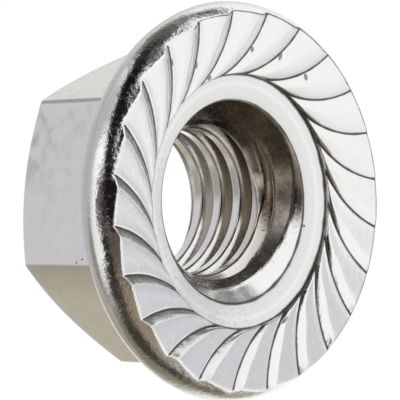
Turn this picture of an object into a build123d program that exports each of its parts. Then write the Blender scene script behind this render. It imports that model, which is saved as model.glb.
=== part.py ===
from build123d import *
import math
import os

# Serrated hexagon flange nut, M8 x 1.25, cold formed as one solid.
# Millimetres. The nut stands on its hexagon end at Z = 0 and its thread axis is +Z,
# so the serrated bearing face is on top. +X is square to one hexagon flat, and one
# tooth foot meets the rim on +X. Heights marked "down" are measured from the crests.

# ---- hexagon -----------------------------------------------------------------
height = 8.2                 # hexagon end to the tooth crests
across_flats = 12.9          # width over two opposite flats
corner_round = 0.2           # rounding of the six upright corners
end_land = 0.95              # flat land of the hexagon end, as a share of the flats
end_chamfer = 30.0           # degrees, the end's chamfer, from the end plane

# ---- flange ------------------------------------------------------------------
flange_dia = 17.88           # at the widest line of the rounded rim
rim_down = 0.88              # widest line of the rim, down
rim_upper_r = 0.95           # rounding of the rim towards the bearing face
rim_lower_r = 1.5            # rounding of the rim towards the hexagon
flange_slope = 20.0          # degrees, back of the flange, from flat

# ---- bore and smooth ring ----------------------------------------------------
minor_dia = 6.647            # bore, minor diameter of the thread
end_sink_dia = 8.75          # mouth of the countersink in the hexagon end
sink_angle = 45.0            # degrees, both countersinks, from the axis
ring_dia = 11.41             # smooth ring inside the teeth, outer edge
ring_down = 0.77             # outer edge of the ring, down
mouth_dia = 9.15             # inner edge of the ring, where the countersink starts
mouth_down = 1.12            # inner edge of the ring, down

# ---- teeth: ramps that end in steep, curved walls ----------------------------
tooth_count = 24
tooth_height = 0.24          # wall height at the rim, before the rim is rounded
foot_down = 0.19             # foot of the wall at the rim, down
foot_in = 0.298              # both are measured this far inside the widest line
tooth_arc_r = 5.8            # radius of the curved wall foot, seen along the axis
tooth_run_in = 0.22          # how far that curve would pass inside the ring edge
ramp_outward = 0.0611        # rise of a ramp per millimetre away from the axis
wall_lean = 20.0             # degrees, the wall leans from square to its ramp
crest_break = 0.07           # small flat along each crest

over = 1.0                   # how far cutters pass beyond the metal


def polar(radius, degrees):
    a = math.radians(degrees)
    return (radius * math.cos(a), radius * math.sin(a))


def turned_blank():
    """Rim and back of the flange, as one turned disc without its neck."""
    rim_r = flange_dia / 2
    z_rim = height - rim_down
    upper_r = rim_r - rim_upper_r
    lower_r = rim_r - rim_lower_r
    upper_mid = polar(rim_upper_r, 45)
    turn = 90 - flange_slope
    lower_mid = polar(rim_lower_r, turn / 2)
    lower_end = polar(rim_lower_r, turn)
    back = (lower_r + lower_end[0], z_rim - lower_end[1])
    core_r = across_flats / 2 - over
    root = (core_r, back[1] - (back[0] - core_r) * math.tan(math.radians(flange_slope)))
    with BuildSketch(Plane.XZ) as section:
        with BuildLine():
            Polyline((0, root[1]), root, back)
            ThreePointArc(back, (lower_r + lower_mid[0], z_rim - lower_mid[1]),
                          (rim_r, z_rim))
            ThreePointArc((rim_r, z_rim), (upper_r + upper_mid[0], z_rim + upper_mid[1]),
                          (upper_r, z_rim + rim_upper_r))
            Polyline((upper_r, z_rim + rim_upper_r), (0, z_rim + rim_upper_r),
                     (0, root[1]))
        make_face()
    return revolve(section.sketch, Axis.Z)


def hexagon():
    """Hexagon reaching up into the flange, its end corners turned off to a cone."""
    corner_r = across_flats / 2 / math.cos(math.radians(30))
    land_r = across_flats / 2 * end_land
    z_top = height - rim_down
    outline = RegularPolygon(corner_r, 6, rotation=30)
    outline = fillet(outline.vertices(), corner_round)
    rise = (corner_r - land_r) * math.tan(math.radians(end_chamfer))
    with BuildSketch(Plane.XZ) as section:
        with BuildLine():
            Polyline((0, 0), (land_r, 0), (corner_r, rise), (corner_r, z_top),
                     (0, z_top), (0, 0))
        make_face()
    return extrude(outline, z_top) & revolve(section.sketch, Axis.Z)


def bore_tool():
    """Bore, both countersinks and the recessed smooth ring, as one turned cutter."""
    bore_r = minor_dia / 2
    end_r = end_sink_dia / 2
    mouth_r = mouth_dia / 2
    ring_r = ring_dia / 2
    lead = math.tan(math.radians(sink_angle))
    z_mouth = height - mouth_down
    with BuildSketch(Plane.XZ) as section:
        with BuildLine():
            Polyline((0, -over), (end_r + over * lead, -over),
                     (bore_r, (end_r - bore_r) / lead),
                     (bore_r, z_mouth - (mouth_r - bore_r) / lead),
                     (mouth_r, z_mouth), (ring_r, height - ring_down),
                     (ring_r, height + over), (0, height + over), (0, -over))
        make_face()
    return revolve(section.sketch, Axis.Z)


def tooth_cutter():
    """The room above one ramp: from its own wall round past the next tooth's wall."""
    pitch = 360 / tooth_count
    foot_rim_r = flange_dia / 2 - foot_in
    reach = ring_dia / 2 - tooth_run_in + tooth_arc_r
    bearing = math.degrees(math.acos((reach ** 2 + foot_rim_r ** 2 - tooth_arc_r ** 2)
                                     / (2 * reach * foot_rim_r)))
    r_in = ring_dia / 2 - over / 4
    r_out = flange_dia / 2 + over
    with BuildSketch() as sector:
        with BuildLine():
            Line(polar(r_out, bearing), polar(r_in, bearing))
            ThreePointArc(polar(r_in, bearing), polar(r_in, 0), polar(r_in, -1.5 * pitch))
            Line(polar(r_in, -1.5 * pitch), polar(r_out, -1.5 * pitch))
            ThreePointArc(polar(r_out, -1.5 * pitch), polar(r_out, 0),
                          polar(r_out, bearing))
        make_face()
    slab = extrude(Pos(0, 0, height - over) * sector.sketch, 2 * over)

    step = math.radians(pitch)
    ramp_sideways = ((tooth_height + ramp_outward * foot_rim_r * (1 - math.cos(step)))
                     / (foot_rim_r * math.sin(step)))
    normal = (-ramp_outward, ramp_sideways, 1)
    ramp = Plane(origin=(foot_rim_r, 0, height - foot_down), z_dir=normal)
    above = extrude(ramp * Rectangle(flange_dia * 2, flange_dia * 2), flange_dia)

    # Each wall is a cone square to the ramp that ends on it, so its crest is a circle.
    x, y = polar(reach, bearing - pitch)
    z = height - foot_down + ramp_outward * (x - foot_rim_r) - ramp_sideways * y
    axis = Rot(0, 0, pitch) * Plane(origin=(x, y, z), z_dir=normal).location
    lean = over * math.tan(math.radians(wall_lean))
    tooth = Cone(tooth_arc_r + lean, tooth_arc_r - lean, 2 * over)
    return (slab & above) - axis * Pos(0, 0, -tooth_height) * tooth


def break_crests(body):
    """Break the upper long edge of each steep wall."""
    walls = [f for f in body.faces().filter_by(GeomType.CONE)
             if math.hypot(f.center(CenterOf.MASS).X, f.center(CenterOf.MASS).Y)
             > ring_dia / 2]
    crests = [w.edges().sort_by(SortBy.LENGTH)[-2:].sort_by(Axis.Z)[-1] for w in walls]
    return body.chamfer(crest_break, None, crests)


def nut():
    body = turned_blank() + hexagon() - bore_tool()
    cutter = tooth_cutter()
    pitch = 360 / tooth_count
    body -= [Rot(0, 0, pitch * i) * cutter for i in range(tooth_count)]
    return break_crests(body)


os.makedirs("parts", exist_ok=True)
flange_nut = nut()
export_step(flange_nut, "parts/flange_nut.step")
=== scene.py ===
import math

import bmesh
import bpy
import numpy as np
from mathutils import Matrix, Vector


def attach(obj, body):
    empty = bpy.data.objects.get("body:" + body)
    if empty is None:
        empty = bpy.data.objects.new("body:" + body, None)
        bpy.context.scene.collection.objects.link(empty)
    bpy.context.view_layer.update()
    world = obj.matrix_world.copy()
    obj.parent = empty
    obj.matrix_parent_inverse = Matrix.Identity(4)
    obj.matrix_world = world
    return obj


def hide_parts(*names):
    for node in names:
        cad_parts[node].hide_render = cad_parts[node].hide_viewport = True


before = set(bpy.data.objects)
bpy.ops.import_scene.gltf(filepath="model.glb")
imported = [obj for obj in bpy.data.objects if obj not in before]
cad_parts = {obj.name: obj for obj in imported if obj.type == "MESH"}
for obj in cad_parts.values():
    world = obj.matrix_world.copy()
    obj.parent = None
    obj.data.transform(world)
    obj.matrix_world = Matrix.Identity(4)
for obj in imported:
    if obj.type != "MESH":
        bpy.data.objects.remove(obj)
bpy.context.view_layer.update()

# A serrated flange nut, M8 x 1.25, that stands on its hexagon end with its thread along
# Z. Lengths are in millimetres until a mesh is made. A "turn" is an angle about Z, in
# radians. "In" is towards the axis and "down" towards the hexagon end.
MM = 0.001

# ---- hexagon and flange -----------------------------------------------------------
HEIGHT = 8.2                     # to the crests of the teeth
FLATS = 12.9
CORNER_ROUND = 0.2
LAND_R = 0.95 * FLATS / 2        # flat land of the hexagon end
LAND_CUT = 0.08                  # a cut is how far from a corner its rounding starts
CHAMFER = math.radians(30)       # of the hexagon end, from flat
CHAMFER_CUT = 0.10
NECK_CUT = 0.16                  # where the hexagon meets the flange
SLOPE = math.radians(20)         # back of the flange, from flat
RIM_R = 8.94
RIM_Z = HEIGHT - 1.07            # the rim's widest line
UPPER_R = 1.4                    # rounding of the rim above that line
LOWER_R = 1.2                    # and below it
EDGE_BREAK = 0.09                # rounding between the rim and the serrated face
EDGE_DROP = 0.8 * EDGE_BREAK     # how far down the rim that rounding starts
EDGE_IN = 0.30                   # most that the rim's upper edge is cut back
EDGE_TURN = math.radians(70)     # the side on which it is
EDGE_POWER = 1.4                 # above 1, more of that cut is near the edge
RIM_LEAST = 0.02                 # the face ends at least this far inside RIM_R

# ---- ring, mouth and bore ---------------------------------------------------------
RING_R = 5.705
RING_Z = HEIGHT - 0.77
STEP_IN = 0.03                   # lean and rounding of the step from the teeth to the ring
MOUTH_R = 4.575
MOUTH_Z = HEIGHT - 1.12
LIP_CONE = math.radians(52)      # the mouth's off-centre lip, from the axis
LIP_WIDE = 0.74
LIP_NARROW = 0.03
LIP_TURN = math.radians(-178)    # the side on which it is wide
LIP_SOFT = 0.05
SINK_CONE = math.radians(30)     # the countersink below the lip, from the axis
MINOR_R = 3.3235
MAJOR_R = 3.92
PITCH = 1.25
FLANK = math.radians(28)         # of the thread, from square to the axis
ROOT_HALF = PITCH / 16           # half the width of the flat at the thread's root
CREST_ROUND = 0.07
BORE_SOFT = 0.03                 # softness of the corners where thread and cones meet
END_SINK_R = 4.375
THREAD_LOW = 0.3                 # height at which the spiral rows start
THREAD_TURNS = 5
END_ROWS = 4
MOUTH_ROWS = 10

# ---- teeth: ramps that end in walls, each with a circular arc as its foot ---------
TEETH = 24
TOOTH_TURN = 2 * math.pi / TEETH
FOOT_R = RIM_R - 0.298           # a tooth's tip, where the next two sizes are given
FOOT_Z = HEIGHT - 0.19           # foot of the wall
WALL_H = 0.24
OUTWARD = 0.0611                 # rise of a ramp per millimetre away from the axis
ARC_R = 5.51                     # radius of an arc through the tip
RUN_IN = 0.05                    # how far inside the ring's edge that arc would pass
FOOT_OUT = 0.07                  # how far outside that arc the wall's foot lies
WALL_TILT = math.radians(24.5)   # from the ramp, where the wall has its full width
WALL_STEP = 0.02                 # height of a steeper step at the wall's foot
STEP_SLOPE = 3                   # and its rise per millimetre
CREST_SOFT = 0.02                # heights over which crest and foot are rounded
FOOT_SOFT = 0.02
TOE = 0.022                      # metal that stands up outside the wall's foot
TOE_REACH = 0.22
TOE_END = 0.02                   # how far inside the foot it ends
CREASE = 0.03                    # groove along the wall's foot
CREASE_REACH = 0.03
RING_NARROW = 0.34               # share of its full width that a wall has at the ring
RING_REACH = 1.2                 # distance over which it grows from there
TIP_NARROW = 0.60                # the same two at the tip
TIP_REACH = 0.75

SIDEWAYS = ((WALL_H + OUTWARD * FOOT_R * (1 - math.cos(TOOTH_TURN)))
            / (FOOT_R * math.sin(TOOTH_TURN)))
REACH = RING_R - RUN_IN + ARC_R
BEARING = math.acos((REACH ** 2 + FOOT_R ** 2 - ARC_R ** 2) / (2 * REACH * FOOT_R))
WALL_R = ARC_R + FOOT_OUT

# ---- how the mesh is divided --------------------------------------------------------
# A tooth has columns at these distances inside its wall's foot, for a wall of full
# width, and a few more that are spread over the rest of its ramp.
NEAR_WALL = np.array([-0.40, -0.26, -0.14, -0.05, -0.01, 0.02, 0.07, 0.20, 0.34, 0.45, 0.54])
SPARE = 3
PER_TOOTH = len(NEAR_WALL) + SPARE
COLUMNS = TEETH * PER_TOOTH
TOOTH_START = np.repeat(np.arange(TEETH) * TOOTH_TURN, PER_TOOTH)
PAST_END = 0.5                   # turn per millimetre for columns past the arc's reach
BORE_STEP = 2 * math.pi / COLUMNS

BEND_ROWS = 4                    # in each rounded corner of a profile
LAND_ROWS, CHAMFER_ROWS, HEXAGON_ROWS, BACK_ROWS = 3, 5, 12, 4
LOWER_ROWS, UPPER_ROWS = 16, 14
STEP_ROWS, RING_ROWS = 4, 18
EVEN_FROM, EVEN_OVER = 6, 14     # first of the rows that even out the columns, and how many
FACE_SHARES = np.concatenate([[0.0, 0.008, 0.02, 0.05], np.linspace(0.09, 0.72, 20),
                              np.linspace(0.75, 1.0, 16)])
# Rows of the thread as shares of its pitch, from one root to the next.
TO_CREST = np.array([0.05, 0.09, 0.15, 0.21, 0.27, 0.33, 0.37, 0.40, 0.45])
PHASES = np.concatenate([[0.0], TO_CREST, 1 - TO_CREST[::-1]])
HALVINGS = 40                    # steps in solving for the edge of the face
MERGE = 2e-7                     # metres within which points become one


# ---- small helpers ------------------------------------------------------------------
def soft_min(a, b, width):
    """The lower of two values, rounded where they differ by less than a width."""
    near = np.clip(width - np.abs(a - b), 0, None) / width
    return np.minimum(a, b) - near * near * width / 4


def soft_max(a, b, width):
    return -soft_min(-a, -b, width)


def smooth(share):
    """A smooth step from 0 to 1."""
    share = np.clip(share, 0, 1)
    return share * share * (3 - 2 * share)


def facing(turn, side):
    """1 on the side at a turn, 0 on the opposite side, and a cosine between."""
    return (1 + np.cos(turn - side)) / 2


def bend(start, corner, end, share):
    """Point on the curve that leaves start towards a corner and reaches end from it."""
    return ((1 - share) ** 2 * start + 2 * share * (1 - share) * corner
            + share * share * end)


def toward(start, end):
    return (end - start) / np.linalg.norm(end - start, axis=1)[:, None]


def profile_row(r, z):
    """One (r, z) for every column, from single numbers or from one number a column."""
    return np.stack([r * np.ones(COLUMNS), z * np.ones(COLUMNS)], axis=1)


def along(points, cuts, counts):
    """Rows along a path of profile rows, with its corners rounded by their cuts."""
    rows = []
    start = points[0]
    for i, count in enumerate(counts, start=1):
        corner = points[i]
        cut_in = cut_out = corner
        if cuts[i] > 0:
            cut_in = corner - toward(points[i - 1], corner) * cuts[i]
            cut_out = corner + toward(corner, points[i + 1]) * cuts[i]
        rows += [start + (cut_in - start) * k / count for k in range(count)]
        if cuts[i] > 0:
            rows += [bend(cut_in, corner, cut_out, k / BEND_ROWS) for k in range(BEND_ROWS)]
        start = cut_out
    rows.append(start)
    return rows


def spin(turn, r, z):
    return np.stack([r * np.cos(turn), r * np.sin(turn), z], axis=1)


def even_turns(turn):
    """The evenly spaced turns of the bore's columns that lie nearest to these."""
    even = np.arange(COLUMNS) * BORE_STEP
    return even + round(float(np.mean(turn - even)) / BORE_STEP) * BORE_STEP


# ---- teeth --------------------------------------------------------------------------
def wall_angle(r, inside=0.0):
    """Turn of the curve that lies a given distance inside a tooth's wall foot."""
    radius = WALL_R - inside
    cosine = (REACH ** 2 + r ** 2 - radius ** 2) / (2 * REACH * r)
    return BEARING - np.arccos(np.clip(cosine, -1, 1))


def deepest(r):
    """How far inside the wall foot a circle about the axis comes."""
    return r - REACH + WALL_R


def inside_wall(r, turn):
    """Distance inside the wall foot of the tooth whose tip is at turn zero."""
    x, y = r * np.cos(turn), r * np.sin(turn)
    inside = WALL_R - np.hypot(x - REACH * math.cos(BEARING), y - REACH * math.sin(BEARING))
    return np.where(turn > BEARING, np.maximum(inside, deepest(r)), inside)


def wall_width(r):
    """Share of its full width that a wall has, which falls off to the ring and the tip."""
    from_ring = smooth((r - RING_R) / RING_REACH)
    from_tip = smooth((FOOT_R - r) / TIP_REACH)
    return ((RING_NARROW + (1 - RING_NARROW) * from_ring)
            * (TIP_NARROW + (1 - TIP_NARROW) * from_tip))


def ramp(r, turn):
    """Height of the ramp whose foot is at the wall of turn zero."""
    return (FOOT_Z + OUTWARD * (r * np.cos(turn) - FOOT_R)
            - SIDEWAYS * r * np.sin(turn))


def tooth_height(r, turn):
    """Height of the serrated face, turn being measured from the nearest wall's tip."""
    inside = inside_wall(r, turn) / wall_width(r)
    low = ramp(r, turn)
    high = ramp(r, turn - TOOTH_TURN)
    step = np.clip(inside * STEP_SLOPE, 0, WALL_STEP)
    wall = low + step + inside * math.tan(WALL_TILT)
    full = soft_max(low, soft_min(high, wall, CREST_SOFT), FOOT_SOFT)
    toe = TOE * np.exp(-(np.minimum(inside, 0) / TOE_REACH) ** 2) * (inside < TOE_END)
    crease = CREASE * np.exp(-(inside / CREASE_REACH) ** 2)
    return full + toe - crease


def column_turns(r):
    """Turn within one tooth of each of its columns at radius r (one per column)."""
    near_r = r.reshape(TEETH, PER_TOOTH)[:, :len(NEAR_WALL)]
    inside = NEAR_WALL[None, :] * wall_width(near_r)
    most = deepest(near_r)
    near = wall_angle(near_r, np.minimum(inside, most)) + np.maximum(inside - most, 0) * PAST_END
    first, last = near[:, 0] + TOOTH_TURN, near[:, -1]
    spare = [last + (first - last) * (k + 1) / (SPARE + 1) for k in range(SPARE)]
    return np.concatenate([near, np.stack(spare, axis=1)], axis=1).reshape(-1)


def face_turn(r):
    """Turn of every column at radius r, and the same measured from its own tooth."""
    own = column_turns(r)
    return own + TOOTH_START, own


def rim_radius(z, turn):
    """The rim's rounded surface above its widest line, cut back on one side."""
    up = z - RIM_Z
    share = np.clip(up / (FOOT_Z - RIM_Z), 0, 1) ** EDGE_POWER
    back = EDGE_IN * facing(turn, EDGE_TURN)
    return RIM_R - UPPER_R + np.sqrt(np.maximum(UPPER_R ** 2 - up ** 2, 0)) - back * share


def solve_rim_edge():
    """Radius at which each column leaves the rounded rim for the serrated face."""
    low = np.full(COLUMNS, RIM_R - UPPER_R)
    high = np.full(COLUMNS, RIM_R - RIM_LEAST)
    for _ in range(HALVINGS):
        middle = (low + high) / 2
        turn, own = face_turn(middle)
        within = rim_radius(tooth_height(middle, own), turn) > middle
        low = np.where(within, middle, low)
        high = np.where(within, high, middle)
    return (low + high) / 2


# ---- outside of the nut, as rows of points from the hexagon end to the mouth --------
def hex_radius(turn):
    """Distance from the axis to the rounded hexagon, a flat of which is at turn zero."""
    half = math.pi / 6
    off_corner = np.abs(turn % (2 * half) - half)
    flat = FLATS / 2 / np.cos(half - off_corner)
    centre = (FLATS / 2 - CORNER_ROUND) / math.cos(half)
    chord = np.maximum(CORNER_ROUND ** 2 - (centre * np.sin(off_corner)) ** 2, 0)
    rounded = centre * np.cos(off_corner) + np.sqrt(chord)
    tangent = math.atan2(CORNER_ROUND * math.sin(half), centre + CORNER_ROUND * math.cos(half))
    return np.where(off_corner < tangent, rounded, flat)


def underside(turn):
    """Rows and turns over the hexagon end, the hexagon and the back of the flange."""
    hexagon = hex_radius(turn)
    back_r = RIM_R - LOWER_R + LOWER_R * math.sin(SLOPE)
    back_z = RIM_Z - LOWER_R * math.cos(SLOPE)
    chamfer_z = (hexagon - LAND_R) * math.tan(CHAMFER)
    neck_z = back_z - (back_r - hexagon) * math.tan(SLOPE)
    path = [profile_row(END_SINK_R, 0), profile_row(LAND_R, 0),
            profile_row(hexagon, chamfer_z), profile_row(hexagon, neck_z),
            profile_row(back_r, back_z)]
    rows = along(path, [0, LAND_CUT, CHAMFER_CUT, NECK_CUT, 0],
                 [LAND_ROWS, CHAMFER_ROWS, HEXAGON_ROWS, BACK_ROWS])
    even = even_turns(turn)
    turns = [turn + (even - turn) * max(0, 1 - k / LAND_ROWS) for k in range(len(rows))]
    return rows, turns


def lower_rim(turn, shift):
    """Rows and turns over the rim's lower rounding, on which the columns shift round."""
    rows, turns = [], []
    for k in range(1, LOWER_ROWS + 1):
        down = (math.pi / 2 - SLOPE) * (1 - k / LOWER_ROWS)
        rows.append(profile_row(RIM_R - LOWER_R + LOWER_R * math.cos(down),
                                RIM_Z - LOWER_R * math.sin(down)))
        turns.append(turn + shift * k / LOWER_ROWS)
    return rows, turns


def upper_rim(edge, edge_z):
    """Rows and turns over the rim's upper rounding, up to the edge of the face."""
    rows, turns = [], []
    edge_turn, _ = face_turn(edge)
    for k in range(1, UPPER_ROWS + 1):
        share = k / UPPER_ROWS
        z = RIM_Z + (edge_z - EDGE_DROP - RIM_Z) * share
        rows.append(np.stack([rim_radius(z, edge_turn), z], axis=1))
        turns.append(face_turn(RIM_R + (edge - RIM_R) * share ** 2)[0])
    return rows, turns


def rounded_edge(start, edge, edge_z):
    """Rows and turns of the rounding that follows row start and ends on the face."""
    inner = edge - EDGE_BREAK
    inner_z = tooth_height(inner, face_turn(inner)[1])
    corner, end = np.stack([edge, edge_z], axis=1), np.stack([inner, inner_z], axis=1)
    rows = [bend(start, corner, end, k / BEND_ROWS) for k in range(1, BEND_ROWS)]
    return rows, [face_turn(row[:, 0])[0] for row in rows]


def outside_rows():
    """All rows from the hexagon end to the face, and the radius at which the face starts."""
    at_rim, _ = face_turn(np.full(COLUMNS, RIM_R))
    shift = wall_angle(np.array([RIM_R]))[0]
    edge = solve_rim_edge()
    edge_z = tooth_height(edge, face_turn(edge)[1])
    rows, turns = underside(at_rim - shift)
    upper = upper_rim(edge, edge_z)
    for more in (lower_rim(at_rim - shift, shift), upper,
                 rounded_edge(upper[0][-1], edge, edge_z)):
        rows += more[0]
        turns += more[1]
    return [spin(t, row[:, 0], row[:, 1]) for t, row in zip(turns, rows)], edge - EDGE_BREAK


def face_rows(start_r):
    """The serrated face, from the rim's edge in to the edge of the smooth ring."""
    rows = []
    for share in FACE_SHARES:
        r = start_r + (RING_R - start_r) * share
        turn, own = face_turn(r)
        rows.append(spin(turn, r, tooth_height(r, own)))
    return rows, turn


def ring_rows(face_end, turn):
    """Step down from the face, and the smooth ring in to the mouth."""
    path = [profile_row(RING_R, face_end[:, 2]), profile_row(RING_R - STEP_IN, RING_Z),
            profile_row(MOUTH_R, MOUTH_Z)]
    rows = along(path, [0, STEP_IN, 0], [STEP_ROWS, RING_ROWS])
    even = even_turns(turn)
    shares = np.clip((np.arange(len(rows)) - EVEN_FROM) / EVEN_OVER, 0, 1)
    return [spin(turn + (even - turn) * share, row[:, 0], row[:, 1])
            for share, row in zip(shares[1:], rows[1:])]


# ---- bore ---------------------------------------------------------------------------
def lip_width(turn):
    """Width of the mouth's off-centre lip, measured towards the axis."""
    return LIP_NARROW + (LIP_WIDE - LIP_NARROW) * facing(turn, LIP_TURN) ** 2


def mouth_radius(z, turn):
    """Radius of the mouth: the lip, then the steeper countersink."""
    width = lip_width(turn)
    down = MOUTH_Z - z
    lip = MOUTH_R - down * math.tan(LIP_CONE)
    sink = MOUTH_R - width - (down - width / math.tan(LIP_CONE)) * math.tan(SINK_CONE)
    return soft_max(lip, sink, np.minimum(width / 2, LIP_SOFT))


def bore_radius(z, turn):
    """Radius of the threaded bore between its countersink and its mouth."""
    phase = z / PITCH - turn / (2 * math.pi)
    from_root = np.abs((phase + 0.5) % 1.0 - 0.5) * PITCH
    groove = MAJOR_R - np.clip(from_root - ROOT_HALF, 0, None) / math.tan(FLANK)
    thread = soft_max(groove, MINOR_R, CREST_ROUND)
    end_sink = END_SINK_R - z
    return soft_max(thread, np.maximum(end_sink, mouth_radius(z, turn)), BORE_SOFT)


def bore_patches():
    """Spiral rows of the thread, wedges that make its ends level, and the level rows."""
    turn = np.arange(COLUMNS + 1) * BORE_STEP
    climb = turn / (2 * math.pi) * PITCH

    def row(z):
        return spin(turn, bore_radius(z, turn), z)

    def level_rows(low, high, count):
        return [row(np.full(COLUMNS + 1, z)) for z in np.linspace(low, high, count)]

    shares = np.unique(np.append((PHASES - THREAD_LOW / PITCH) % 1.0, 0.0))
    top = THREAD_LOW + THREAD_TURNS * PITCH
    last = top - PITCH + climb
    spiral = [row(THREAD_LOW + (t + share) * PITCH + climb)
              for t in range(THREAD_TURNS - 1) for share in shares]
    wedge_low = [row(THREAD_LOW + climb * share) for share in np.append(shares, 1.0)]
    wedge_top = [row(last + (top - last) * share) for share in np.append(shares, 1.0)]
    return (wedge_low, spiral + [row(last)], wedge_top,
            level_rows(top, MOUTH_Z, MOUTH_ROWS), level_rows(0, THREAD_LOW, END_ROWS))


# ---- the surface's finish and painted shade, stored with every point of the mesh ----
HAIR = 0.01                      # slack in telling which surface a point is on
FLANGE_R, FLANGE_Z = 6.5, 5.2    # the flange lies beyond both
HEXAGON_R = 5.0                  # the hexagon lies beyond this, and under FLANGE_Z
FACE_UP = 0.1                    # the face lies this far above the ring
RIM_GAP = 0.03                   # and this far inside the rim
LIP_GAP = 0.02                   # the bore's finish starts this far under the lip
SINK_Z = 5.6                     # the bore above this is countersink
SINK_SOFT = 0.3
SHADED_TURN = math.radians(-90)   # the side on which the painted shade in creases and countersink is darkest

# Painted shade along the creases: the walls' feet, the ring's step, the mouth, the lip's foot
# and the face's edge.
MOUTH_FINE = 0.02                # narrows the painted shade line round the mouth
MOUTH_LEAST = 0.7                # its width where the lip is narrowest
LIP_FADE = 0.15                  # fades the painted shade line at the lip's foot on the side away from the shade
EDGE_FADE = 0.12                 # fades the line along the face's edge likewise
EDGE_DEEP = 0.3                  # that line is looked for down to here, from FOOT_Z
NO_CREASE = 1.0                  # a distance beyond any crease's reach

HEX_ROUGH = 0.26
RIM_ROUGH = 0.12
FACE_ROUGH = 0.18
RING_ROUGH = 0.16
BORE_ROUGH = 0.14
SINK_ROUGH = 0.25

# Painted reflection bands on the smooth ring: its brightness from its inner edge (0) to its
# outer edge (1).
RING_REFLECTION_BANDS = ((0, 0.05, 0.12, 0.20, 0.48, 0.53, 0.64, 0.70, 0.90, 0.97),
              (0.86, 0.82, 0.80, 0.85, 0.86, 0.92, 0.95, 0.88, 0.87, 0.84))
# Painted shade up the teeth's walls, darker on one side.
WALL_SHADE_TURN = math.radians(20)   # side on which the walls' painted shade is darkest
WALL_SHADE_WIDE = 0.30               # falls off over this far up a wall
WALL_SHADE = 0.42
WALL_SHADE_MEAN, WALL_SHADE_SWING = 0.7, 0.8   # how it varies with the turn
RIM_SHADE = 0.72                 # painted shade below the rim's widest line: its brightness there
RIM_SHADE_Z = (RIM_Z - 0.1, RIM_Z + 0.35)   # heights between which it rises to 1
CORNER_SHADE = 0.76              # painted shade on the flat just past the hexagon's corner: its brightness there
CORNER_TURN = math.pi / 2
CORNER_WIDE = 0.35               # turn over which it rises to 1
GROOVE_TURN = math.radians(-20)  # side on which the thread's grooves have painted shade
GROOVE_SHADE = 0.7
GROOVE_UP = 0.05                 # a groove starts this far outside the minor radius
GROOVE_SOFT = 0.15
GROOVE_LOW, GROOVE_RISE = 0.5, 3.5   # their painted shade and brown grow from a height, over a height
GROOVE_LEAST = 0.15              # and is this share of itself at the hexagon end
SINK_SHADE = 0.3                 # how dark the painted shade on one side of the countersink is
SINK_POWER = 1.5

HEX_GRAIN = 0.14
RIM_GRAIN = 1.2
FACE_GRAIN = 0.45
INNER_GRAIN = 0.28
SINK_GRAIN = 0.6

BROWN_TURN = math.radians(-63)     # side on which the bore is brown, with oil and painted reflection
BROWN_RISE = ((4.4, 5.2, 5.8), (0.0, 0.5, 1.0))   # heights, and how brown the crests are
MOTTLE_TURN = math.radians(42)   # middle of the blotched part of the hexagon
MOTTLE_WIDE = math.radians(22)
MOTTLE_DEEP = 3.6                # height over which it fades
MOTTLE_LEAST, MOTTLE_MORE = 0.12, 0.7


class Spots:
    """Where every point of the nut lies, and masks of the surfaces that it may be on."""

    def __init__(self, mesh):
        points = np.empty(len(mesh.vertices) * 3)
        mesh.vertices.foreach_get("co", points)
        x, y, z = points.reshape(-1, 3).T / MM
        r, turn = np.hypot(x, y), np.arctan2(y, x)
        self.r, self.z, self.turn = r, z, turn
        self.own = turn - np.round((turn - wall_angle(r)) / TOOTH_TURN) * TOOTH_TURN
        self.rim_r = rim_radius(z, turn)
        self.lip = lip_width(turn)
        self.lip_z = MOUTH_Z - self.lip / math.tan(LIP_CONE)
        self.shaded_side = facing(turn, SHADED_TURN)

        self.flange = (r > FLANGE_R) & (z > FLANGE_Z)
        self.hexagon = (r > HEXAGON_R) & (z < FLANGE_Z)
        self.face = (z > RING_Z + FACE_UP) & (r > RING_R - HAIR) & (r < self.rim_r - RIM_GAP)
        self.ring = (r < RING_R) & (z > MOUTH_Z - HAIR) & (z < RING_Z + HAIR)
        self.bore = (r < MOUTH_R) & (z < self.lip_z - LIP_GAP) & (z > THREAD_LOW)
        self.sink = self.bore & (z > SINK_Z)
        self.groove = (np.clip((r - MINOR_R - GROOVE_UP) / GROOVE_SOFT, 0, 1)
                       * np.clip((z - GROOVE_LOW) / GROOVE_RISE, GROOVE_LEAST, 1))


def crease_distance(spots):
    """Distance from the nearest crease that is darkened with painted shade, made longer where
    that shade is fine.
    """
    r, z = spots.r, spots.z
    less_shaded = 1 - spots.shaded_side
    foot = np.where(spots.face, np.abs(inside_wall(r, spots.own)), NO_CREASE)
    step = np.hypot(r - RING_R, z - RING_Z) / (1 + spots.shaded_side)
    mouth = ((np.hypot(r - MOUTH_R, z - MOUTH_Z) + MOUTH_FINE)
             / (MOUTH_LEAST + spots.lip / LIP_WIDE))
    lip_foot = np.hypot(r - MOUTH_R + spots.lip, z - spots.lip_z) + LIP_FADE * less_shaded
    edge = np.hypot(spots.rim_r - r, tooth_height(r, spots.own) - z) + EDGE_FADE * less_shaded ** 2
    edge = np.where(z > FOOT_Z - EDGE_DEEP, edge, NO_CREASE)
    return np.minimum.reduce([foot, step, mouth, lip_foot, edge])


def roughness(spots):
    r, z = spots.r, spots.z
    rough = np.full(len(z), HEX_ROUGH)
    rough[spots.flange] = RIM_ROUGH
    rough[spots.face & (r > RING_R)] = FACE_ROUGH
    rough[(r < RING_R) & (z > MOUTH_Z - HAIR)] = RING_ROUGH
    rough[(r < MOUTH_R) & (z < MOUTH_Z) & (z > HAIR)] = BORE_ROUGH
    rough[spots.sink] = np.interp(z[spots.sink], (SINK_Z, SINK_Z + SINK_SOFT),
                                  (BORE_ROUGH, SINK_ROUGH))
    return rough


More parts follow.
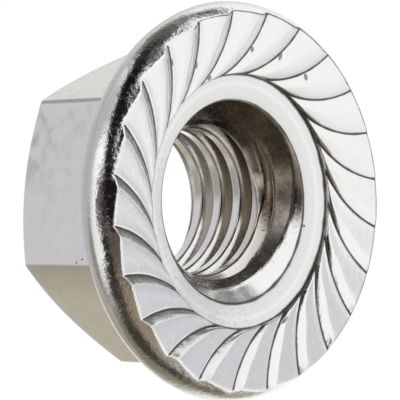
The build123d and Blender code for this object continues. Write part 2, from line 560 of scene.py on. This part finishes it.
def painted_shading(spots):
    """Painted light and shade: bands on the ring, shade on walls, under the rim, past a corner,
    in hollows.
    """
    z, turn = spots.z, spots.turn
    # Painted reflection bands across the smooth ring.
    across = (spots.r - MOUTH_R) / (RING_R - MOUTH_R)
    bright = np.where(spots.ring, np.interp(across, *RING_REFLECTION_BANDS), 1.0)

    # Painted shade up the teeth's walls, darkest on one side.
    inside = inside_wall(spots.r, spots.own)
    on_wall = spots.face & (inside > -HAIR)
    wall_shade_share = np.exp(-np.clip(inside, 0, None) / WALL_SHADE_WIDE) * on_wall
    side = np.clip(WALL_SHADE_MEAN + WALL_SHADE_SWING * np.cos(turn - WALL_SHADE_TURN), 0, 1)
    bright -= WALL_SHADE * wall_shade_share * side

    # Painted shade under the rim's widest line.
    rim = spots.flange & ~spots.face
    bright[rim] = np.interp(z[rim], RIM_SHADE_Z, (RIM_SHADE, 1.0))
    # Painted shade on the flat just past a corner of the hexagon.
    past = spots.hexagon & (turn > CORNER_TURN)
    bright[past] = np.interp(turn[past] - CORNER_TURN, (0, CORNER_WIDE), (CORNER_SHADE, 1.0))
    # Painted shade in the thread's grooves, on one side.
    dark_groove = facing(turn, GROOVE_TURN) ** 2 * spots.groove
    bright[spots.bore] = 1 - GROOVE_SHADE * dark_groove[spots.bore]
    # Painted shade on one side of the countersink.
    bright[spots.sink] = 1 - SINK_SHADE * spots.shaded_side[spots.sink] ** SINK_POWER
    return bright


def graininess(spots):
    grain = np.full(len(spots.z), HEX_GRAIN)
    grain[spots.flange] = RIM_GRAIN
    grain[spots.face] = FACE_GRAIN
    grain[spots.r < RING_R] = INNER_GRAIN
    grain[spots.sink] = SINK_GRAIN
    return grain


def oil_and_reflection(spots):
    """Brown in the bore, from oil and painted reflection of the brown room: in the grooves low
    down and everywhere near the mouth.
    """
    deep = np.maximum(spots.groove, np.interp(spots.z, *BROWN_RISE))
    return np.where(spots.bore, facing(spots.turn, BROWN_TURN) * deep, 0.0)


def blotches(spots):
    """Grey blotches on part of the hexagon, and on the countersink, growing towards its side
    with the painted shade.
    """
    near = np.exp(-((spots.turn - MOTTLE_TURN) / MOTTLE_WIDE) ** 2
                  - (spots.z / MOTTLE_DEEP) ** 2)
    mottle = np.where(spots.hexagon, MOTTLE_LEAST + MOTTLE_MORE * near, 0.0)
    mottle[spots.sink] = spots.shaded_side[spots.sink]
    return mottle


def store_finish(mesh):
    """Store the six values that the metal's material reads at every point."""
    spots = Spots(mesh)
    for name, values in (("crease", crease_distance(spots)), ("rough", roughness(spots)),
                         ("painted_shade", painted_shading(spots)), ("grain", graininess(spots)),
                         ("oil_and_brown", oil_and_reflection(spots)), ("mottle", blotches(spots))):
        mesh.attributes.new(name, "FLOAT", "POINT").data.foreach_set("value", values)


# ---- the nut's mesh -----------------------------------------------------------------
def add_patch(verts, faces, rows, closed):
    """Join rows of points into quads; a closed patch also joins last column to first."""
    base = len(verts)
    columns = len(rows[0])
    verts.extend(np.concatenate(rows).tolist())
    span = columns if closed else columns - 1
    for i in range(len(rows) - 1):
        for j in range(span):
            a = base + i * columns + j
            b = base + i * columns + (j + 1) % columns
            faces.append((a, b, b + columns, a + columns))


def nut_mesh():
    verts, faces = [], []
    outside, face_start = outside_rows()
    face, turn = face_rows(face_start)
    add_patch(verts, faces, outside + face + ring_rows(face[-1], turn), True)
    for rows in bore_patches():
        add_patch(verts, faces, rows, False)

    mesh = bpy.data.meshes.new("nut")
    mesh.from_pydata([(x * MM, y * MM, z * MM) for x, y, z in verts], [], faces)
    bm = bmesh.new()
    bm.from_mesh(mesh)
    bmesh.ops.remove_doubles(bm, verts=bm.verts, dist=MERGE)
    bmesh.ops.recalc_face_normals(bm, faces=bm.faces)
    for f in bm.faces:
        f.smooth = True
    bm.to_mesh(mesh)
    bm.free()
    store_finish(mesh)
    return mesh


nut = bpy.data.objects.new("nut", nut_mesh())
bpy.context.scene.collection.objects.link(nut)
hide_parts("flange_nut")
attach(nut, "root")

# ---- camera -------------------------------------------------------------------------
CAMERA_AT = (30.565, 75.677, 85.244)
CAMERA_AIM = (1.248, 2.890, 8.01)
CAMERA_ROLL = math.radians(89.46)
LENS = 227.8
SENSOR = 36
NEAREST = 1                      # the camera sees nothing nearer than this


def add_camera():
    data = bpy.data.cameras.new("camera")
    data.lens = LENS
    data.sensor_width = SENSOR
    data.clip_start = NEAREST * MM
    camera = bpy.data.objects.new("camera", data)
    at, aim = Vector(CAMERA_AT) * MM, Vector(CAMERA_AIM) * MM
    look = (aim - at).to_track_quat("-Z", "Y").to_matrix().to_4x4()
    camera.matrix_world = (Matrix.Translation(at) @ look
                           @ Matrix.Rotation(CAMERA_ROLL, 4, "Z"))
    bpy.context.scene.collection.objects.link(camera)
    bpy.context.scene.camera = camera


add_camera()


# ---- colours and node helpers -------------------------------------------------------
def tone(red, green, blue):
    """Linear colour of a display value from 0 to 255."""
    scaled = [c / 255 for c in (red, green, blue)]
    linear = [c / 12.92 if c < 0.04045 else ((c + 0.055) / 1.055) ** 2.4 for c in scaled]
    return (*linear, 1.0)


class Nodes:
    """Short ways to add and join shader nodes; a value may be a number or a socket."""

    def __init__(self, tree):
        self.tree = tree
        tree.nodes.clear()

    def add(self, kind, settings=None, **sockets):
        node = self.tree.nodes.new(kind)
        for name, value in (settings or {}).items():
            setattr(node, name, value)
        for name, value in sockets.items():
            self.put(node.inputs[name.replace("_", " ")], value)
        return node

    def put(self, socket, value):
        if isinstance(value, bpy.types.NodeSocket):
            self.tree.links.new(value, socket)
        else:
            socket.default_value = value

    def math(self, operation, a, b=0.0, c=0.0):
        node = self.tree.nodes.new("ShaderNodeMath")
        node.operation = operation
        for socket, value in zip(node.inputs, (a, b, c)):
            self.put(socket, value)
        return node.outputs[0]

    def vector(self, operation, a, b=(0, 0, 0)):
        node = self.tree.nodes.new("ShaderNodeVectorMath")
        node.operation = operation
        self.put(node.inputs[0], a)
        self.put(node.inputs[1], b)
        return node.outputs["Value" if operation == "DOT_PRODUCT" else "Vector"]

    def scale(self, vector, factor):
        node = self.vector("SCALE", vector).node
        self.put(node.inputs["Scale"], factor)
        return node.outputs["Vector"]

    def noise(self, place, size, detail):
        node = self.add("ShaderNodeTexNoise", Vector=place, Scale=1 / size, Detail=detail,
                        Roughness=0.5)
        return node.outputs["Fac"]

    def stored(self, name):
        return self.add("ShaderNodeAttribute", {"attribute_name": name}).outputs["Fac"]

    def ease(self, value, low, high):
        """0 below low, 1 above high, and a smooth step between."""
        node = self.add("ShaderNodeMapRange", {"interpolation_type": "SMOOTHSTEP"},
                        Value=value, From_Min=low, From_Max=high)
        return node.outputs["Result"]

    def blend(self, share, a, b):
        """Mix of two colours, which are the node's sockets 6 and 7 and its output 2."""
        node = self.tree.nodes.new("ShaderNodeMix")
        node.data_type = "RGBA"
        self.put(node.inputs["Factor"], share)
        self.put(node.inputs[6], a)
        self.put(node.inputs[7], b)
        return node.outputs[2]

    def mix_shaders(self, share, a, b):
        node = self.add("ShaderNodeMixShader", Fac=share)
        self.put(node.inputs[1], a.outputs[0])
        self.put(node.inputs[2], b.outputs[0])
        return node

    def surface(self, kind, shader):
        self.put(self.add(kind).inputs["Surface"], shader.outputs[0])


# ---- studio -------------------------------------------------------------------------
# The room round the nut: a white tent with a few darker and lighter things in it. Each
# has an angle away from the camera's side and a clockwise turn about it from straight
# up, both in degrees, then its radius, the softness of its edge and its colour. A later
# thing hides an earlier one.
ROOM = tone(250, 251, 250)
THINGS = (
    ("left wall", 105, 282, 50, 16, tone(205, 203, 207)),
    ("far wall", 150, 340, 24, 14, tone(222, 224, 220)),
    ("beige table", 128, 218, 18, 12, tone(186, 180, 162)),
    ("shade past the table", 85, 188, 36, 18, tone(132, 127, 110)),
    ("shade over the card", 99, 354, 17, 9, tone(120, 119, 114)),
    ("grey wall past the window", 62, 322, 18, 8, tone(190, 191, 194)),
    ("card's grey edge", 68, 9, 13, 3, tone(84, 86, 88)),
    ("card's side", 87, 12, 8, 3, tone(66, 68, 68)),
    ("brown coat", 47, 163, 22, 7, tone(146, 132, 114)),
    ("brown coat's hem", 27, 130, 12, 5, tone(122, 110, 97)),
    ("brown sleeve", 30, 91, 10, 3, tone(118, 104, 88)),
    ("trousers", 45, 197, 15, 5, tone(62, 60, 52)),
    ("trousers, lower", 72, 186, 16, 5, tone(62, 60, 52)),
    ("shoe", 90, 168, 9, 4, tone(66, 62, 56)),
    ("shoe's shadow, far", 126, 154, 9, 5, tone(160, 155, 138)),
    ("shoe's shadow", 108, 159, 8, 4, tone(104, 100, 84)),
    ("lens hood", 18, 270, 15, 5, tone(96, 88, 90)),
    ("camera's strap", 24, 197, 12, 4, tone(26, 22, 18)),
    ("camera's base", 22, 162, 9, 4, tone(92, 85, 78)),
    ("camera", 9, 25, 14, 4, tone(20, 18, 18)),
    ("camera's handle", 19, 350, 9, 4, tone(18, 18, 20)),
    ("camera's lens", 8, 95, 13, 4, tone(22, 14, 18)),
    ("camera's side", 6, 262, 9, 3, tone(22, 18, 20)),
    ("black card", 39, 357, 17, 4, tone(15, 18, 22)),
    ("black card, upper", 60, 356, 14, 4, tone(12, 16, 20)),
    ("black card's top", 80, 356, 12, 4, tone(36, 36, 35)),
    ("card's stand", 96, 2, 10, 5, tone(92, 92, 90)),
    ("card's foot", 109, 20, 8, 4, tone(76, 80, 82)),
    ("wall under the window", 88, 245, 20, 7, tone(160, 157, 150)),
    ("window's near pane", 35, 315, 9, 3, tone(255, 255, 255)),
    ("window", 46, 301, 11, 4, tone(255, 255, 255)),
    ("window's lower pane", 46, 242, 9, 4, tone(243, 239, 240)),
    ("grey sheet", 104, 87, 13, 5, tone(203, 205, 209)),
    ("grey corner, near", 95, 50, 13, 2, tone(126, 126, 126)),
    ("grey corner", 109, 55, 13, 2, tone(118, 118, 116)),
    ("grey corner, middle", 124, 61, 13, 2, tone(130, 130, 128)),
    ("grey corner, far", 138, 73, 13, 2, tone(128, 128, 126)),
    ("grey corner's end", 143, 92, 14, 3, tone(150, 150, 148)),
)
LIGHT = 1.1
WHITE = (1, 1, 1, 1)
PAPER = (0.9, 0.9, 0.9, 1)
PAPER_GLOW = 1.08
GLOW_SHARE = 0.9                 # the rest of the paper's brightness shows the shadow
FLOOR_HALF = 400
FLOOR_DOWN = 0.01                # keeps the floor clear of the hexagon end


def studio_world():
    """The room lights the nut and is mirrored in it; the camera itself sees white."""
    world = bpy.data.worlds.new("studio")
    bpy.context.scene.world = world
    world.use_nodes = True
    nodes = Nodes(world.node_tree)
    direction = nodes.add("ShaderNodeTexCoord").outputs["Generated"]
    camera = bpy.context.scene.camera.matrix_world.to_3x3()
    colour = ROOM
    for _, angle, turn, radius, soft, thing in THINGS:
        angle, turn = math.radians(angle), math.radians(turn)
        away = Vector((math.sin(angle) * math.sin(turn), math.sin(angle) * math.cos(turn),
                       math.cos(angle)))
        near = nodes.vector("DOT_PRODUCT", direction, tuple(camera @ away))
        share = nodes.ease(near, math.cos(math.radians(radius + soft)),
                           math.cos(math.radians(radius - soft)))
        colour = nodes.blend(share, colour, thing)
    room = nodes.add("ShaderNodeBackground", Color=colour, Strength=LIGHT)
    white = nodes.add("ShaderNodeBackground", Color=WHITE, Strength=1.0)
    seen = nodes.add("ShaderNodeLightPath").outputs["Is Camera Ray"]
    nodes.surface("ShaderNodeOutputWorld", nodes.mix_shaders(seen, room, white))


def floor_paper():
    """White paper that glows for the camera, so that only a faint shadow shows."""
    paint = bpy.data.materials.new("floor_paper")
    paint.use_nodes = True
    nodes = Nodes(paint.node_tree)
    paper = nodes.add("ShaderNodeBsdfDiffuse", Color=PAPER)
    glow = nodes.add("ShaderNodeEmission", Color=WHITE, Strength=PAPER_GLOW)
    seen = nodes.add("ShaderNodeLightPath").outputs["Is Camera Ray"]
    share = nodes.math("MULTIPLY", seen, GLOW_SHARE)
    nodes.surface("ShaderNodeOutputMaterial", nodes.mix_shaders(share, paper, glow))
    return paint


def add_floor():
    half, low = FLOOR_HALF * MM, -FLOOR_DOWN * MM
    mesh = bpy.data.meshes.new("floor")
    mesh.from_pydata([(-half, -half, low), (half, -half, low), (half, half, low),
                      (-half, half, low)], [], [(0, 1, 2, 3)])
    mesh.materials.append(floor_paper())
    floor = bpy.data.objects.new("floor", mesh)
    bpy.context.scene.collection.objects.link(floor)
    floor.visible_glossy = False


# ---- metal --------------------------------------------------------------------------
STEEL = (0.86, 0.855, 0.85)
# Brown in the bore: partly oil, partly painted reflection of the brown room.
OIL_AND_REFLECTED_BROWN = (0.46, 0.395, 0.30)
# Dark colour of the painted shade in the creases, and of the blotches and marks.
GRIME_AND_SHADE = tone(84, 82, 78)
CREASE_SHADE_NEAR, CREASE_SHADE_FAR = 0.022, 0.0825   # full painted shade, and none, this far from a crease
CREASE_SHADE_WAVER = 0.06
SHADE_AND_MARK_SHARE = 0.92
CREASE_ROUGH = 0.5
BLOTCH_FROM, BLOTCH_TO = 0.40, 0.75     # of the patches' noise
BLOTCH_SHARE = 0.40
PIT_FROM, PIT_TO = 0.5, 0.75            # of the pits' noise
PIT_ROUGH = 0.12
GRAIN, PITS, WAVES, PATCHES = (0.10, 3), (0.22, 2), (1.1, 2), (0.7, 3)   # size and detail
GRAIN_DEEP, PITS_DEEP, WAVES_DEEP = 0.5, 1.1, 2.2
BUMP = 0.010                            # depth that one unit of height stands for
MARK_DEEP = 3.0
MARK_RAGGED = 1.2
MARK_NEAR, MARK_FAR = 0.4, 1.5          # a full mark, and none, in squares of its halves

# Small marks: each has a middle, a heading, half a length, half a width and a strength.
# A heading of None runs along the axis; any other is a turn about it, in degrees.
MARKS = (
    ("burr, top left", (6.68, 0.67, 7.84), 170, 0.16, 0.07, 0.8),
    ("burr, second from the left", (7.35, 2.14, 7.95), 175, 0.16, 0.06, 0.8),
    ("burr, third from the left", (6.42, 4.06, 7.96), 165, 0.16, 0.06, 0.8),
    ("burr by the ring", (5.84, -0.05, 7.67), 140, 0.12, 0.10, 0.8),
    ("burr, top", (6.12, -2.93, 7.86), 165, 0.15, 0.09, 0.8),
    ("burr, top right", (5.20, -4.52, 7.86), 150, 0.16, 0.09, 0.8),
    ("burr, right", (3.76, -5.76, 7.87), 180, 0.18, 0.09, 0.8),
    ("nick in the mouth", (-2.75, -3.76, 7.10), 52, 0.16, 0.05, 0.8),
    ("nick by the ring, lower", (-5.92, -0.35, 7.74), 100, 0.30, 0.07, 0.8),
    ("spot by the ring, right", (-5.36, -2.15, 7.62), 110, 0.22, 0.09, 0.8),
    # The next mark is painted shade along the hexagon's corner, with a shallow dent.
    ("painted shade past the upper flat's edge", (6.37, 3.74, 2.9), None, 3.4, 0.09, 0.5),
    ("scratch on the flat", (1.75, 6.47, 3.7), None, 0.35, 0.02, 0.6),
    ("dent by the lower edge", (0.15, 7.34, 4.10), None, 0.05, 0.05, 0.8),
    ("dent by the lower edge, second", (0.28, 7.28, 4.46), None, 0.06, 0.04, 0.8),
)


def mark_share(nodes, place, patches, mark):
    """How strongly one mark shows: a long spot with ragged edges."""
    _, middle, heading, half_length, half_width, strength = mark
    way = (0, 0, 1)
    if heading is not None:
        way = (math.cos(math.radians(heading)), math.sin(math.radians(heading)), 0)
    away = nodes.vector("SUBTRACT", place, middle)
    on = nodes.vector("DOT_PRODUCT", away, way)
    on_squared = nodes.math("MULTIPLY", on, on)
    away_squared = nodes.vector("DOT_PRODUCT", away, away)
    off_squared = nodes.math("SUBTRACT", away_squared, on_squared)
    far = nodes.math("MULTIPLY_ADD", on_squared, 1 / half_length ** 2,
                     nodes.math("DIVIDE", off_squared, half_width ** 2))
    far = nodes.math("MULTIPLY_ADD", patches, MARK_RAGGED,
                     nodes.math("SUBTRACT", far, MARK_RAGGED / 2))
    within = nodes.math("SUBTRACT", 1.0, nodes.ease(far, MARK_NEAR, MARK_FAR))
    return nodes.math("MULTIPLY", within, strength)


# Painted shade along the creases: 1 on a crease, 0 well away from it.
def crease_shade(nodes, patches):
    waver = nodes.math("MULTIPLY_ADD", patches, CREASE_SHADE_WAVER, -CREASE_SHADE_WAVER / 2)
    crease = nodes.math("ADD", nodes.stored("crease"), waver)
    return nodes.math("SUBTRACT", 1.0, nodes.ease(crease, CREASE_SHADE_NEAR, CREASE_SHADE_FAR))


def metal_colour(nodes, patches, shade_and_marks):
    """Steel with its painted shade, brown where the bore has oil and painted brown reflection,
    grey where it is blotched, and dark with the creases' painted shade and with marks.
    """
    steel = nodes.scale(STEEL, nodes.stored("painted_shade"))
    oil_and_brown = nodes.scale(OIL_AND_REFLECTED_BROWN, nodes.stored("painted_shade"))
    steel = nodes.blend(nodes.stored("oil_and_brown"), steel, oil_and_brown)
    blotch = nodes.math("MULTIPLY", nodes.ease(patches, BLOTCH_FROM, BLOTCH_TO),
                        nodes.stored("mottle"))
    steel = nodes.blend(nodes.math("MULTIPLY", blotch, BLOTCH_SHARE), steel, GRIME_AND_SHADE)
    return nodes.blend(nodes.math("MULTIPLY", shade_and_marks, SHADE_AND_MARK_SHARE), steel, GRIME_AND_SHADE)


def metal_bump(nodes, place, pits, marked):
    """Fine grain, pits and soft waves, as strong as the surface's grain, and the marks."""
    height = nodes.math("MULTIPLY_ADD", pits, PITS_DEEP,
                        nodes.math("MULTIPLY", nodes.noise(place, *GRAIN), GRAIN_DEEP))
    height = nodes.math("MULTIPLY_ADD", nodes.noise(place, *WAVES), WAVES_DEEP, height)
    height = nodes.math("MULTIPLY", height, nodes.stored("grain"))
    height = nodes.math("MULTIPLY_ADD", marked, -MARK_DEEP, height)
    return nodes.add("ShaderNodeBump", Height=height, Strength=1.0, Distance=BUMP * MM)


def nut_metal():
    """Bright plated steel, worn and blotched, with painted shade and painted reflection bands as
    the values stored with the mesh say.
    """
    metal = bpy.data.materials.new("nut_metal")
    metal.use_nodes = True
    nodes = Nodes(metal.node_tree)
    place = nodes.scale(nodes.add("ShaderNodeTexCoord").outputs["Object"], 1 / MM)
    patches, pits = nodes.noise(place, *PATCHES), nodes.noise(place, *PITS)

    marked = 0.0
    for mark in MARKS:
        marked = nodes.math("MAXIMUM", marked, mark_share(nodes, place, patches, mark))
    creases = crease_shade(nodes, patches)
    rough = nodes.math("MULTIPLY_ADD", nodes.ease(pits, PIT_FROM, PIT_TO), PIT_ROUGH,
                       nodes.stored("rough"))
    rough = nodes.math("MAXIMUM", rough, nodes.math("MULTIPLY", creases, CREASE_ROUGH))
    colour = metal_colour(nodes, patches, nodes.math("MAXIMUM", creases, marked))
    bump = metal_bump(nodes, place, pits, marked)
    shader = nodes.add("ShaderNodeBsdfPrincipled", Base_Color=colour, Metallic=1.0,
                       Roughness=rough, Normal=bump.outputs[0])
    nodes.surface("ShaderNodeOutputMaterial", shader)
    return metal


nut.data.materials.append(nut_metal())
studio_world()
add_floor()
bpy.context.scene.view_settings.view_transform = "Standard"
